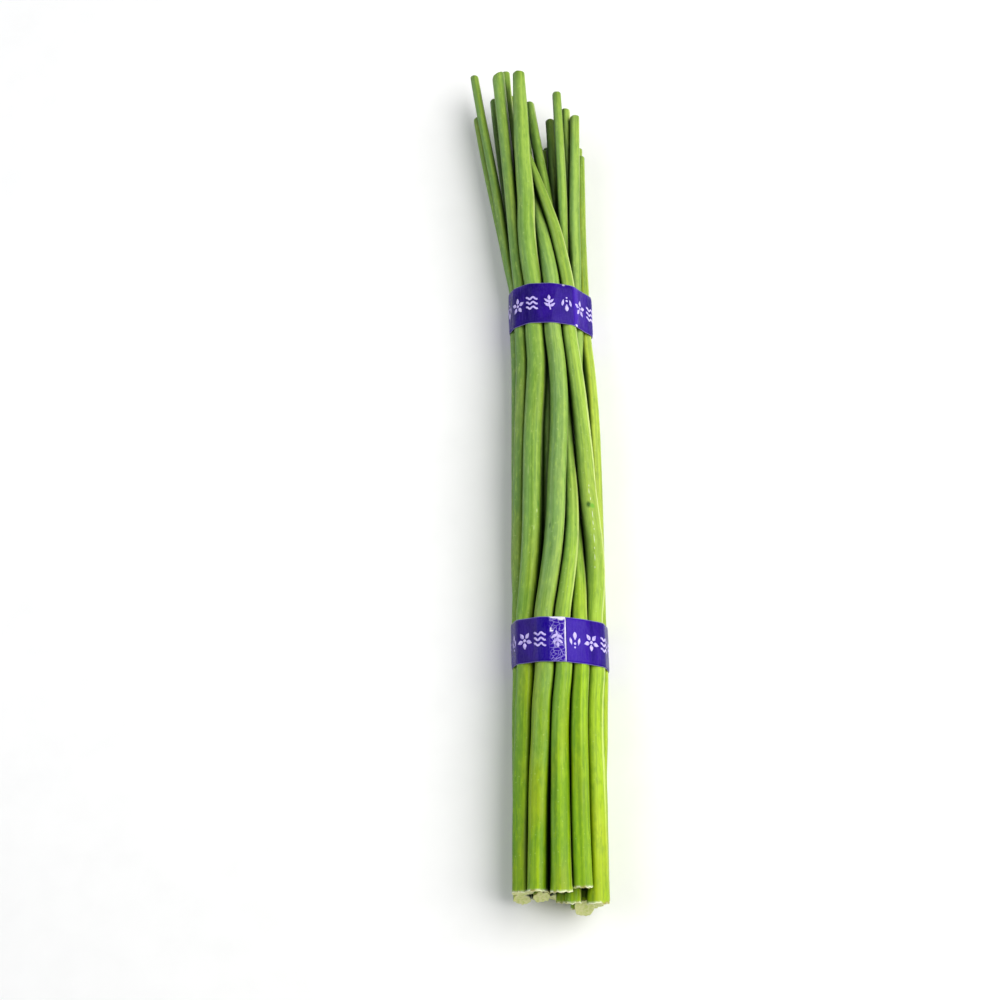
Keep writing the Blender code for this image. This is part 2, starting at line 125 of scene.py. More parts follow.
LOOKS = {
    # Scapes 01 and 02 are given darker greens: painted shade, as of a shadow lying over them.
    "scape_01": Look("#89a82a", "#5f8826", "#6f9038", 0.35, 0.9, 4, 200, 0.02, ()),
    "scape_02": Look("#8fb02e", "#668f2c", "#88aa46", 0.40, 0.25, 24, 10, 0.03, ()),
    # Scape 03: its darker olive cut end and the long dark brownish patch on one side near the cut end are
    # painted shade, and its small pale marks are painted highlights; its dark green spot is its own.
    "scape_03": Look("#86a42a", "#7eac30", "#86a948", 0.30, 0.45, 4, 80, 0.03,
                     ((-24.0, 54, 0.5, 1.8, "#3d7a18", 0.6), (-27.0, 62, 0.3, 0.9, "#d5e9a0", 0.5),
                      (-35.0, 78, 0.25, 1.2, "#d5e9a0", 0.4), (-8.0, 118, 0.3, 2.6, "#c9d98c", 0.25),
                      (-176.0, 62, 1.9, 22.0, "#5d6b18", 0.7))),
    "scape_04": Look("#a4c236", "#86b05c", "#86a850", 0.85, 0.5, 6, 60, 0.02,
                     ((-35.0, 122, 0.4, 1.5, "#2f5a1c", 0.75), (-46.0, 98, 0.8, 5.0, "#557a35", 0.55))),
    "scape_05": Look("#c0d63e", "#a2c636", "#96b644", 0.25, 0.6, -8, 90, 0.03,
                     ((-24.0, 99, 1.1, 1.5, "#2f5a10", 0.9), (-24.6, 76, 1.2, 1.2, "#5fae0c", 0.8),
                      *(drop_glint(*drop) for drop in DROP_GLINTS))),
    "scape_06": Look("#a8cc44", "#98bc54", "#8ab04a", 0.55, 0.5, 5, 40, 0.12, ()),
    "scape_07": Look("#d2e23a", "#d4e434", "#a8c63a", 0.20, 0.6, -6, 70, 0.02, ()),
    "scape_08": Look("#9cc046", "#88b642", "#84a648", 0.45, 0.5, 5, 110, 0.09,
                     ((-34.0, 62, 0.3, 0.8, "#47701f", 0.6), (-17.0, 95, 0.25, 0.7, "#d5e9a0", 0.35))),
    "scape_09": Look("#a2c824", "#90bc36", "#86a846", 0.35, 0.55, -5, 60, 0.03, ()),
    "scape_10": Look("#9cba38", "#7ea436", "#6c9230", 0.40, 0.6, 7, 90, 0.03, ()),
    "scape_11": Look("#8fae34", "#6e9630", "#568028", 0.35, 0.6, -9, 120, 0.02, ()),
    "scape_12": Look("#98b638", "#78a034", "#658c2e", 0.35, 0.6, 6, 100, 0.02, ()),
    "scape_13": Look("#90ae36", "#6c942e", "#547c26", 0.30, 0.7, -5, 140, 0.02, ()),
    "scape_14": Look("#9ab838", "#749c32", "#62882c", 0.35, 0.6, 4, 80, 0.03, ()),
    "scape_15": Look("#98b838", "#7ca434", "#98b42c", 0.35, 0.25, 16, 20, 0.02, ()),
    "scape_16": Look("#92b038", "#759a34", "#62882a", 0.35, 0.6, -6, 160, 0.02, ()),
    "scape_17": Look("#98b63a", "#7ca036", "#688e2e", 0.40, 0.6, 5, 60, 0.03, ()),
    "scape_18": Look("#9cbc3c", "#80a638", "#6c9232", 0.40, 0.6, -7, 100, 0.02, ()),
    "scape_19": Look("#9aba3a", "#82aa38", "#6e9432", 0.40, 0.6, 6, 70, 0.02, ()),
    "scape_20": Look("#a4c43e", "#8cb23e", "#80a83c", 0.45, 0.6, -4, 85, 0.02, ()),
}

# Painted light and shade round a stem, fixed to its sides: a yellower lit side, a pale painted
# highlight along it, a grey painted sheen on the far side and darker painted shade beyond that.
# Each is a direction in degrees from +X towards +Z, the cosines between which the tone fades in,
# its most and its colour.
PAINTED_SIDE_LIGHT = (
    (46.0, 0.94, 0.36, 0.60, "#a8ca3a"),
    (14.0, 1.00, 0.95, 0.65, "#dcec90"),
    (150.0, 0.95, 0.60, 0.50, "#769f58"),
    (186.0, 1.00, 0.84, 0.55, "#3f6e1e"),
)

# Tapes: fine film on the CAD ring's outer surface, with closer points at its free end.
FILM_SAMPLE = 0.45
FREE_END = (0.0, 0.15, 0.3, 0.45, 0.6, 0.9)
FILM_ROWS = 18
TAPE_HALF = 10.0
FILM_SINK = 0.29
FILM_THICKNESS = 0.12
NORMAL_REACH = 0.9
SMOOTH_ROUNDS = 3
STEP_CLEAR = 1.2

# Waves in the film: height and the lengths round the bunch and across the tape. At the tape's
# edges the film lies flatter and curls in.
FILM_WAVES = ((0.10, 7.0, 9.0, 0.5), (0.05, 2.6, 3.4, 4.5))
EDGE_CALM = 3.0
EDGE_CURL = 0.22
EDGE_REACH = 0.9

# Creases in the film: from (u, v) to (u, v), height and width. u runs from the free end round
# the bunch towards its left side, and v across the tape towards the tips.
CREASES = {
    "lower_tape": (
        (2.0, 8.0, 11.0, -3.0, 0.30, 0.55), (5.0, 9.5, 15.0, 1.0, -0.22, 0.7),
        (9.0, 4.0, 8.0, -9.0, 0.24, 0.5), (13.5, 9.0, 14.5, -9.5, 0.20, 0.8),
        (18.0, 2.0, 27.0, -8.0, 0.16, 0.7), (-3.0, 9.0, -7.0, -8.0, 0.14, 0.8),
        (-9.0, 9.5, -14.0, 0.0, 0.18, 0.6), (-15.0, 3.0, -18.0, -9.0, 0.16, 0.6),
        (2.5, -2.0, 9.0, -9.0, 0.20, 0.5), (45.0, 9.0, 52.0, -9.0, 0.18, 0.8),
        (70.0, 8.0, 66.0, -9.0, 0.16, 0.8), (88.0, 9.0, 96.0, -6.0, 0.18, 0.7),
    ),
    "upper_tape": (
        (20.0, 9.0, 24.0, -9.0, 0.14, 0.7), (29.0, 9.0, 27.0, -8.0, -0.12, 0.8),
        (34.0, 8.5, 38.0, -9.0, 0.16, 0.6), (43.0, 9.0, 41.0, -8.0, 0.14, 0.7),
        (2.0, 8.0, 8.0, -7.0, 0.20, 0.6), (12.0, 9.0, 10.0, -9.0, 0.14, 0.6),
        (58.0, 9.0, 64.0, -9.0, 0.16, 0.8), (80.0, 6.0, 86.0, -9.0, 0.16, 0.8),
    ),
}

# The colour round each tape, in darker and lighter bands from its free end towards the bunch's
# left side, as shares of the whole way round, and pale spots as (u, v, half width, half height,
# strength): painted highlights on the lower tape, pale worn spots on the upper.
FILM_ZONES = {
    "lower_tape": (
        (0.0, "#34149c"), (0.056, "#2c0e92"), (0.060, "#190180"), (0.098, "#180278"),
        (0.104, "#34257a"), (0.19, "#2a1970"), (0.25, "#1c066c"), (0.80, "#1c066c"),
        (0.86, "#220a76"), (0.88, "#2e1088"), (0.905, "#220a78"), (0.92, "#321294"),
        (0.97, "#3614a0"), (1.0, "#34129c")),
    "upper_tape": (
        (0.0, "#300f8a"), (0.05, "#3a1898"), (0.088, "#381694"), (0.098, "#240b76"),
        (0.122, "#260c78"), (0.132, "#301088"), (0.182, "#321189"), (0.194, "#4320a8"),
        (0.212, "#401ea6"), (0.224, "#2a0d80"), (0.36, "#240a76"), (0.38, "#1a0566"),
        (0.85, "#1a0566"), (1.0, "#2c0e82")),
}
HIGHLIGHT_AND_WORN_SPOTS = {
    "lower_tape": (
        (2.4, 9.9, 2.0, 1.7, 0.9), (5.2, 10.0, 2.6, 0.9, 0.9), (6.6, 3.6, 0.9, 0.45, 0.8),
        (7.0, 4.4, 0.4, 0.8, 0.8), (5.4, -1.0, 0.4, 1.6, 0.4), (0.8, 1.0, 0.35, 5.5, 0.45)),
    "upper_tape": ((24.0, -9.3, 1.0, 0.5, 0.8), (31.0, 9.5, 0.7, 0.5, 0.5)),
}

# Wrinkles a millimetre, and how far from its free end the film is crumpled.
WRINKLE_SCALE = 0.6
CRUMPLED = 7.5

# The printed row: plain ornaments, each a list of strokes of (u, v, half width) points.
PRINT_PITCH = 8.0
INK_LIFT = 0.02
INK_THICKNESS = 0.03
STROKE_LANES = 3


def leaf(u, v, turn, length, half_width):
    """A pointed leaf that starts at (u, v) and grows in the direction turn, in degrees."""
    along = (math.cos(math.radians(turn)), math.sin(math.radians(turn)))
    steps = (0.0, 0.15, 0.35, 0.6, 0.82, 1.0)
    widths = (0.16, 0.62, 1.0, 0.86, 0.45, 0.08)
    return [
        (u + along[0] * length * step, v + along[1] * length * step, half_width * width)
        for step, width in zip(steps, widths)
    ]


def dot(u, v, radius):
    """A round dot, as a short stroke with a round outline."""
    steps = (-0.98, -0.8, -0.4, 0.0, 0.4, 0.8, 0.98)
    return [(u, v + radius * step, radius * math.sqrt(1.0 - step * step)) for step in steps]


def wave(v, half_width):
    """A short wavy stroke along the tape."""
    steps = [-3.0 + 0.5 * number for number in range(13)]
    return [(step, v + 0.55 * math.sin(step * 1.9), half_width) for step in steps]


SPRIG = [
    [(0.6, -3.7, 0.3), (0.3, -2.5, 0.36), (0.0, -1.1, 0.38), (-0.1, 0.4, 0.36), (0.0, 1.6, 0.3)],
    leaf(0.0, 1.2, 92, 2.7, 0.75),
    leaf(0.2, -2.2, 36, 3.3, 0.7),
    leaf(0.2, -1.9, 146, 3.2, 0.7),
    leaf(0.0, -0.2, 40, 3.0, 0.65),
    leaf(0.0, 0.1, 142, 3.0, 0.65),
]
FLOWER = [dot(0.0, 0.0, 0.75)] + [
    leaf(1.1 * math.cos(math.radians(turn)), 1.1 * math.sin(math.radians(turn)), turn, 2.9, 0.95)
    for turn in range(90, 450, 72)
]
WAVES = [wave(2.4, 0.46), wave(0.0, 0.46), wave(-2.4, 0.46)]
BUDS = [
    leaf(0.0, -3.6, 90, 3.6, 0.9), leaf(-2.2, -1.0, 78, 3.4, 0.6), leaf(2.2, -1.0, 102, 3.4, 0.6),
    dot(0.0, 1.6, 0.55), dot(0.0, 3.2, 0.45),
]
ORNAMENTS = (SPRIG, WAVES, FLOWER, BUDS)


def hex_colour(text):
    """An sRGB hex colour as linear RGBA."""
    parts = [int(text[place : place + 2], 16) / 255 for place in (1, 3, 5)]
    linear = [part / 12.92 if part <= 0.04045 else ((part + 0.055) / 1.055) ** 2.4 for part in parts]
    return (*linear, 1.0)


def add_node(tree, kind, links=None, stops=None, **settings):
    """Adds a shader node. links gives a value or another node's output for each input."""
    node = tree.nodes.new("ShaderNode" + kind)
    for name, value in settings.items():
        setattr(node, name, value)
    for name, value in (links or {}).items():
        if isinstance(value, bpy.types.NodeSocket):
            tree.links.new(value, node.inputs[name])
        else:
            node.inputs[name].default_value = value
    if stops:
        elements = node.color_ramp.elements
        while len(elements) < len(stops):
            elements.new(0.5)
        for element, (place, colour) in zip(elements, stops):
            element.position = place
            element.color = hex_colour(colour)
    return node


def new_material(name):
    """A material with an empty tree but for its shader and output."""
    material = bpy.data.materials.new(name)
    material.use_nodes = True
    return material, material.node_tree, material.node_tree.nodes["Principled BSDF"]


def smooth_step(known, values, wanted):
    """The value at the wanted place, on a smooth curve through the known ones."""
    slopes = np.gradient(values, known)
    place = min(max(int(np.searchsorted(known, wanted)) - 1, 0), len(known) - 2)
    width = known[place + 1] - known[place]
    t = min(max((wanted - known[place]) / width, 0.0), 1.0)
    low, high = values[place], values[place + 1]
    return (
        (2 * t**3 - 3 * t**2 + 1) * low
        + (t**3 - 2 * t**2 + t) * width * slopes[place]
        + (3 * t**2 - 2 * t**3) * high
        + (t**3 - t**2) * width * slopes[place + 1]
    )


def node_points(name):
    """The separate points of a CAD node, in millimetres."""
    corners = np.array([vertex.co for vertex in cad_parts[name].data.vertices]) / MM
    return np.unique(corners.round(3), axis=0)


def read_scape(name):
    """A CAD scape's rings as arrays of Y, X, Z and radius, its cut's slope and its tip's Y."""
    points = node_points(name)
    points = points[np.argsort(points[:, 1])]
    groups = np.split(points, np.flatnonzero(np.diff(points[:, 1]) > NEW_RING) + 1)
    whole = [group for group in groups if len(group) >= CAD_SIDES]
    cut = points[: len(points) - CAD_SIDES * len(whole)]
    if len(cut) < CAD_SIDES:
        cut = groups[0]
        whole = whole[1:]
    middle = cut.mean(axis=0)
    across = cut - middle
    slope = np.linalg.lstsq(across[:, [0, 2]], across[:, 1], rcond=None)[0]
    rows = []
    for ring in [cut] + whole:
        centre = ring.mean(axis=0)
        rows.append((centre[1], centre[0], centre[2], np.hypot(*(ring - centre)[:, [0, 2]].T).mean()))
    rows = np.array(rows)
    return rows[: len(rows) - CAD_TIP_RINGS], slope, rows[-1, 0]


def slice_at(name, y):
    """A scape's X, Z and radius at this Y."""
    rows = stems[name][0]
    return [np.interp(y, rows[:, 0], rows[:, column]) for column in (1, 2, 3)]


def neighbours(name, y, beyond=0.0):
    """The slices at this Y of the other scapes that reach it, as rows of X, Z and radius.

    Those that end less than beyond short of it count too.
    """
    others = [slice_at(other, y) for other, (rows, _, tip_y) in stems.items()
              if other != name and rows[0, 0] - beyond < y < tip_y + beyond]
    return np.array(others).reshape(-1, 3)


def room(name, y, middle, angles, others):
    """How far from this middle the skin may reach at each angle before it meets a neighbour's."""
    x, z, radius = slice_at(name, y)
    toward = others[:, :2] - (x, z)
    apart = np.hypot(*toward.T)
    ways = toward / apart[:, None]
    halfway = 0.5 * (apart + radius - others[:, 2]) - TOUCH_GAP - ways @ (middle - (x, z))
    facing = np.stack([np.cos(angles), np.sin(angles)], axis=-1) @ ways.T
    reaches = np.where(facing > LEAST_FACING, halfway / np.maximum(facing, LEAST_FACING), np.inf)
    return reaches.min(axis=1, initial=np.inf)


def openness(points, angles, others):
    """How open a scape's skin is at these points, from 0 where neighbours close it in to 1.

    It is the share of the half circle round each outward angle that no other scape closes. The
    skin's colour is darkened by it, as painted shade.
    """
    turns = np.radians(np.linspace(-OPEN_HALF, OPEN_HALF, OPEN_RAYS))
    ways = angles[:, None] + turns
    rays = np.stack([np.cos(ways), np.sin(ways)], axis=-1)
    toward = others[None, :, :2] - points[:, None]
    ahead = np.einsum("prk,pok->pro", rays, toward)
    aside = (toward**2).sum(axis=-1)[:, None] - ahead**2
    closed = ((ahead > 0.0) & (aside < others[:, 2] ** 2)).any(axis=-1)
    weights = np.cos(turns)
    return (~closed * weights).sum(axis=1) / weights.sum()


def grow_scape(name, look):
    """One scape, grown from the middle of its cut face to its tip by extruding its end face."""
    rows, slope, tip_y = stems[name]
    seed = float(int(name[-2:]))
    cut_y = rows[0, 0]
    tip_radius = rows[-1, 3]
    shoulder = tip_y - look.round * tip_radius
    tip_slope = math.tan(math.radians(look.slant))
    tip_way = math.radians(look.facing)

    # (Y, share of the radius, how much it belongs to the cut face)
    plan = [(cut_y + depth, share, 1.0) for share, depth in CUT_FACE[:-1]]
    plan.append((cut_y + CUT_FACE[-1][1], 1.0, 0.55))
    plan += [(cut_y + step, 1.0, 0.2 if step == FIRST_RINGS[0] else 0.0) for step in FIRST_RINGS]
    start, end = cut_y + 2 * FIRST_RINGS[-1], shoulder - 0.2
    count = int((end - start) / RING_SPACING)
    plan += [(y, 1.0, 0.0) for y in np.linspace(start, end, count)]
    for number in range(1, TIP_STEPS + 1):
        angle = 0.5 * math.pi * number / (TIP_STEPS + 0.6)
        plan.append((shoulder + look.round * tip_radius * math.sin(angle), math.cos(angle), 0.0))
    if look.round < BLUNT:
        crown = look.round * tip_radius
        plan[-TIP_STEPS:] = [
            (shoulder + crown * height, share, cutness) for height, share, cutness in CUT_TIP
        ]

    bm = bmesh.new()
    straight = bm.verts.layers.float_vector.new("straight")
    along = bm.verts.layers.float.new("along")
    cut = bm.verts.layers.float.new("cut")
    open_layer = bm.verts.layers.float.new("open")
    bmesh.ops.create_circle(bm, cap_ends=True, segments=SIDES, radius=1.0)
    bm.faces.ensure_lookup_table()
    cap = bm.faces[0]
    angles = np.array([math.atan2(vertex.co.y, vertex.co.x) for vertex in cap.verts])
    for number, (y, share, cutness) in enumerate(plan):
        if number:
            grown = bmesh.ops.extrude_face_region(bm, geom=[cap, *cap.edges])["geom"]
            cap = next(piece for piece in grown if isinstance(piece, bmesh.types.BMFace))
        x, z, radius = (smooth_step(rows[:, 0], rows[:, column], y) for column in (1, 2, 3))
        x += WOBBLE * noise.noise(Vector((y / WOBBLE_LENGTH, seed, 0.3)))
        z += WOBBLE * noise.noise(Vector((y / WOBBLE_LENGTH, seed, 7.3)))
        swell = 1.0 + SWELL * noise.noise(Vector((y / SWELL_LENGTH, seed, 3.1)))
        swell += look.flare * math.exp(-(max(y - cut_y, 0.0) / FLARE_LENGTH))
        from_cut = max(0.0, 1.0 - (y - cut_y) / SLANT_REACH)
        from_tip = max(0.0, 1.0 - (tip_y - y) / SLANT_REACH)
        skin = np.stack([x + radius * np.cos(angles), z + radius * np.sin(angles)], axis=-1)
        opened = np.maximum(openness(skin, angles, neighbours(name, y)), cutness)
        limits = room(name, y, np.array([x, z]), angles, neighbours(name, y, PAST_ENDS))
        for vertex, angle, free, limit in zip(cap.verts, angles, opened, limits):
            shape = swell + OVAL * math.cos(2 * (angle - seed) + y / OVAL_LENGTH)
            for count, depth, start, length in RIDGES:
                shape += depth * math.cos(count * angle + seed * start + y / length)
            bump = 0.0
            for mark_y, way, half_width, half_length, _, strength in look.marks:
                off = (angle - math.radians(way) + math.pi) % math.tau - math.pi
                away = (off * radius / half_width) ** 2 + ((y - mark_y) / half_length) ** 2
                bump += MARK_BUMP * strength * math.exp(-away)
            reach = share * min(radius * shape + PROUD + bump, limit)
            across_x, across_z = reach * math.cos(angle), reach * math.sin(angle)
            slanted = from_cut * (slope[0] * across_x + slope[1] * across_z)
            slanted += from_tip * tip_slope * (
                across_x * math.cos(tip_way) + across_z * math.sin(tip_way) - radius
            )
            outward = Vector((math.cos(angle), math.sin(angle), 0.0))
            if cutness and y < cut_y + RIM_DEPTH and share > RIM_SHARE:
                slanted += RAGGED * noise.noise(TEARS * outward + Vector((0.0, 0.0, seed)))
            vertex.co = Vector((x + across_x, y + slanted, z + across_z)) * MM
            vertex[straight] = (radius * share * outward + Vector((0.0, 0.0, y))) * MM
            vertex[along] = (y - cut_y) / (tip_y - cut_y)
            vertex[cut] = cutness
            vertex[open_layer] = free
    finish_piece(name + "_stem", bm, skin_material(name, look, rows), "scape", name)


def finish_piece(name, bm, material, slot, *nodes):
    """Makes the bmesh a smooth piece that rides on the bunch and replaces these CAD nodes."""
    bmesh.ops.recalc_face_normals(bm, faces=bm.faces)
    mesh = bpy.data.meshes.new(name)
    bm.to_mesh(mesh)
    bm.free()
    mesh.shade_smooth()
    mesh.materials.append(material)
    piece = bpy.data.objects.new(name, mesh)
    bpy.context.scene.collection.objects.link(piece)
    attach(piece, "root")
    if nodes:
        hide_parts(*nodes)


def blot(tree, where, place, half_size, near, far, strength):
    """A soft oval mask: strength within near half sizes of the place, and nothing beyond far."""
    away = add_node(tree, "VectorMath", {0: where, 1: place}, operation="SUBTRACT")
    scaled = add_node(tree, "VectorMath", {0: away.outputs[0], 1: half_size}, operation="DIVIDE")
    reach = add_node(tree, "VectorMath", {0: scaled.outputs[0]}, operation="LENGTH")
    return add_node(tree, "MapRange", {
        "Value": reach.outputs["Value"], "From Min": near, "From Max": far,
        "To Min": strength, "To Max": 0.0})


def skin_material(name, look, rows):
    """Fresh scape skin: smooth, slightly waxy and finely grooved along the stem.

    The wax dulls it to a greyer green. Painted light and shade make one side yellower with a pale
    painted highlight and the far side greyer and darker, painted shade darkens the skin where
    neighbours close it in, and the cut end is pale and wet with a torn brownish rim.
    """
    material, tree, shader = new_material("fresh_skin_" + name)
    seed = float(int(name[-2:]))
    straight = add_node(tree, "Attribute", attribute_name="straight").outputs["Vector"]
    along = add_node(tree, "Attribute", attribute_name="along").outputs["Fac"]
    cut = add_node(tree, "Attribute", attribute_name="cut").outputs["Fac"]

    # Grooves run along the stem: 1 mm apart across it and 70 mm long.
    grooves = add_node(tree, "Mapping", {
        "Vector": straight, "Location": (seed, 0.0, 0.0), "Scale": (950.0, 950.0, 14.0)})
    groove = add_node(tree, "TexNoise", {
        "Vector": grooves.outputs[0], "Scale": 1.0, "Detail": 5.0, "Roughness": 0.66})
    streaks = add_node(tree, "Mapping", {
        "Vector": straight, "Location": (0.0, seed, 0.0), "Scale": (330.0, 330.0, 9.0)})
    streak = add_node(tree, "TexNoise", {"Vector": streaks.outputs[0], "Scale": 1.0, "Detail": 2.0})
    # Cloudy patches, 12 mm across, where the wax is thicker or rubbed off.
    cloud = add_node(tree, "TexNoise", {
        "Vector": add_node(tree, "Mapping", {
            "Vector": straight, "Location": (0.0, 0.0, seed), "Scale": (160.0, 160.0, 60.0)}).outputs[0],
        "Scale": 1.0, "Detail": 4.0, "Roughness": 0.62})
    grain = add_node(tree, "TexNoise", {"Vector": straight, "Scale": 900.0, "Detail": 2.0})

    green = add_node(tree, "ValToRGB", {"Fac": along}, stops=(
        (0.0, look.low), (0.42, look.middle), (0.80, look.middle), (0.985, look.high), (1.0, "#62702c")))
    # Round the stem, painted light and shade: the lit side is painted yellower, with a pale painted
    # highlight beyond it, and the far side gets a grey painted sheen and darker painted shade.
    flat = add_node(tree, "VectorMath", {0: straight, 1: (1.0, 1.0, 0.0)}, operation="MULTIPLY")
    way = add_node(tree, "VectorMath", {0: flat.outputs[0]}, operation="NORMALIZE").outputs[0]
    colour = green
    for turn, near, far, amount, tone in PAINTED_SIDE_LIGHT:
        toward = (math.cos(math.radians(turn)), math.sin(math.radians(turn)), 0.0)
        side = add_node(tree, "VectorMath", {0: way, 1: toward}, operation="DOT_PRODUCT")
        jitter = add_node(tree, "Math", {
            0: side.outputs["Value"], 1: streak.outputs["Fac"]}, operation="ADD")
        painted_side_light = add_node(tree, "MapRange", {
            "Value": jitter.outputs[0], "From Min": 0.5 + far, "From Max": 0.5 + near,
            "To Min": 0.0, "To Max": amount})
        colour = add_node(tree, "MixRGB", {
            "Fac": painted_side_light.outputs[0], "Color1": colour.outputs[0], "Color2": hex_colour(tone)})
    darker = add_node(tree, "MapRange", {
        "Value": streak.outputs["Fac"], "From Min": 0.36, "From Max": 0.58, "To Min": 0.56, "To Max": 0.0})
    streaky = add_node(tree, "MixRGB", {
        "Fac": darker.outputs[0], "Color1": colour.outputs[0], "Color2": hex_colour("#557f1c")})
    waxy = add_node(tree, "MapRange", {
        "Value": cloud.outputs["Fac"], "From Min": 0.40, "From Max": 0.68,
        "To Min": 0.04 * look.wax, "To Max": 0.60 * look.wax})
    colour = add_node(tree, "MixRGB", {
        "Fac": waxy.outputs[0], "Color1": streaky.outputs[0], "Color2": hex_colour("#88ad62")})
    lines = add_node(tree, "MapRange", {
        "Value": groove.outputs["Fac"], "From Min": 0.38, "From Max": 0.58, "To Min": 0.38, "To Max": 0.0})
    colour = add_node(tree, "MixRGB", {
        "Fac": lines.outputs[0], "Color1": colour.outputs[0], "Color2": hex_colour("#42691f")})

    # A yellow blush in patches 15 mm across and 50 mm long, mostly near the cut end.
    patches = add_node(tree, "Mapping", {
        "Vector": straight, "Location": (seed, 0.0, 0.0), "Scale": (70.0, 70.0, 20.0)})
    blush = add_node(tree, "TexNoise", {"Vector": patches.outputs[0], "Scale": 1.0, "Detail": 2.0})
    ripe = add_node(tree, "MapRange", {
        "Value": blush.outputs["Fac"], "From Min": 0.48, "From Max": 0.70, "To Min": 0.0, "To Max": 0.32})
    low_down = add_node(tree, "MapRange", {
        "Value": along, "From Min": 0.15, "From Max": 0.6, "To Min": 1.0, "To Max": 0.35})
    amount = add_node(tree, "Math", {0: ripe.outputs[0], 1: low_down.outputs[0]}, operation="MULTIPLY")
    colour = add_node(tree, "MixRGB", {
        "Fac": amount.outputs[0], "Color1": colour.outputs[0], "Color2": hex_colour("#c0c63c")})

    # Mottling, 1 to 2 mm across and 5 mm long, lighter and darker than the skin.
    spots = add_node(tree, "Mapping", {"Vector": straight, "Scale": (760.0, 760.0, 190.0)})
    mottle = add_node(tree, "TexNoise", {
        "Vector": spots.outputs[0], "Scale": 1.0, "Detail": 3.0, "Roughness": 0.6})
    for start, end, amount, tone in ((0.47, 0.33, 0.32, "#4f7f22"), (0.54, 0.68, 0.27, "#b4d64e")):
        patch = add_node(tree, "MapRange", {
            "Value": mottle.outputs["Fac"], "From Min": start, "From Max": end,
            "To Min": 0.0, "To Max": amount})
        colour = add_node(tree, "MixRGB", {
            "Fac": patch.outputs[0], "Color1": colour.outputs[0], "Color2": hex_colour(tone)})

    # Small pores and specks, about one each 3 mm.
    pores = add_node(tree, "TexVoronoi", {"Vector": straight, "Scale": 380.0, "Randomness": 1.0})
    speck = add_node(tree, "MapRange", {
        "Value": pores.outputs["Distance"], "From Min": 0.05, "From Max": 0.17,
        "To Min": 0.26, "To Max": 0.0})
    colour = add_node(tree, "MixRGB", {
        "Fac": speck.outputs[0], "Color1": colour.outputs[0], "Color2": hex_colour("#c7dc8c")})

    for mark_y, way, half_width, half_length, tone, strength in look.marks:
        radius = float(np.interp(mark_y, rows[:, 0], rows[:, 3]))
        turn = math.radians(way)
        place = Vector((radius * math.cos(turn), radius * math.sin(turn), mark_y)) * MM
        half_size = Vector((half_width, half_width, half_length)) * MM
        mask = blot(tree, straight, place, half_size, 0.45, 1.25, strength)
        colour = add_node(tree, "MixRGB", {
            "Fac": mask.outputs[0], "Color1": colour.outputs[0], "Color2": hex_colour(tone)})

    # The cut end is juicier. Painted shade: the skin between neighbours is darkened to a deep green
    # where they close it in.
    juicy = add_node(tree, "MapRange", {
        "Value": along, "From Min": 0.10, "From Max": 0.45, "To Min": 1.16, "To Max": 0.97})
    colour = add_node(tree, "HueSaturation", {"Saturation": juicy.outputs[0], "Color": colour.outputs[0]})
    opened = add_node(tree, "Attribute", attribute_name="open").outputs["Fac"]
    painted_gap_shade = add_node(tree, "MapRange", {
        "Value": opened, "From Min": 0.14, "From Max": 0.76, "To Min": 0.95, "To Max": 0.0},
        interpolation_type="SMOOTHSTEP")
    colour = add_node(tree, "MixRGB", {
        "Fac": painted_gap_shade.outputs[0], "Color1": colour.outputs[0], "Color2": hex_colour("#102e06")})

    # The cut: pale wet flesh inside, a torn rim that browns outside.
    flesh = add_node(tree, "ValToRGB", {"Fac": grain.outputs["Fac"]}, stops=(
        (0.35, "#dbe682"), (0.65, "#f2f4ae")))
    rim = add_node(tree, "ValToRGB", {"Fac": cloud.outputs["Fac"]}, stops=(
        (0.46, "#f6f8dc"), (0.58, "#a89456")))
    inner = add_node(tree, "MapRange", {
        "Value": cut, "From Min": 0.6, "From Max": 0.95, "To Min": 0.0, "To Max": 1.0})
    cut_colour = add_node(tree, "MixRGB", {
        "Fac": inner.outputs[0], "Color1": rim.outputs[0], "Color2": flesh.outputs[0]})
    at_cut = add_node(tree, "MapRange", {
        "Value": cut, "From Min": 0.05, "From Max": 0.55, "To Min": 0.0, "To Max": 1.0})
    colour = add_node(tree, "MixRGB", {
        "Fac": at_cut.outputs[0], "Color1": colour.outputs[0], "Color2": cut_colour.outputs[0]})
    tree.links.new(colour.outputs[0], shader.inputs["Base Color"])

    gloss = add_node(tree, "MapRange", {
        "Value": cloud.outputs["Fac"], "From Min": 0.35, "From Max": 0.70,
        "To Min": 0.36, "To Max": 0.56})
    tree.links.new(gloss.outputs[0], shader.inputs["Roughness"])
    relief = add_node(tree, "MixRGB", {
        "Fac": 0.25, "Color1": groove.outputs["Fac"], "Color2": grain.outputs["Fac"]})
    bump = add_node(tree, "Bump", {"Height": relief.outputs[0], "Strength": 0.9, "Distance": 0.2 * MM})
    tree.links.new(bump.outputs[0], shader.inputs["Normal"])
    shader.inputs["IOR"].default_value = 1.42
    shader.inputs["Subsurface Weight"].default_value = 0.06
    shader.inputs["Subsurface Radius"].default_value = (0.7, 1.0, 0.25)
    shader.inputs["Subsurface Scale"].default_value = 1.2 * MM
    shader.inputs["Specular IOR Level"].default_value = 0.35
    return material


